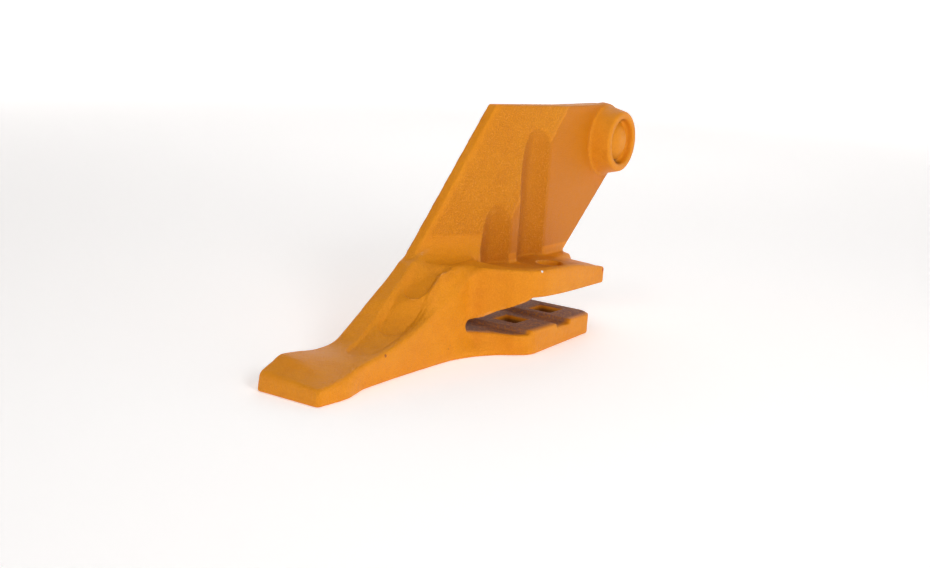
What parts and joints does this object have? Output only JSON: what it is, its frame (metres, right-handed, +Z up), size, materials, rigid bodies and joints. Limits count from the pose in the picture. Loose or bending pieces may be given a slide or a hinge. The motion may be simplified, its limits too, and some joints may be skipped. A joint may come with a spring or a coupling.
{
  "type": "bucket side-cutter tooth",
  "caption": "Cast bolt-on side-cutter tooth for a digger bucket: chisel nose, fork that grips the lip, swept side plate and tapered locating boss.",
  "frame": {"origin": "on the flat underside of the lower jaw, midway between the two bolt axes", "axes": "+X forward to the cutting tip, +Y inboard (the side the boss points to), +Z up, square to the flat underside; the lip slot's faces and the bolt axes are turned 1.74 degrees about Y from them"},
  "size_m": [0.4358, 0.1, 0.1812],
  "materials": {
    "enamel": "satin orange enamel over sand-cast steel",
    "boss_enamel": "satin orange enamel, slightly deeper tone",
    "slot_enamel": "orange enamel, thin overspray inside the lip slot"
  },
  "bodies": {
    "root": {"nose": "enamel", "lower_jaw": "slot_enamel", "upper_jaw": "enamel", "side_plate": "enamel", "locating_boss": "boss_enamel", "recess_dome": "boss_enamel"}
  },
  "joints": []
}
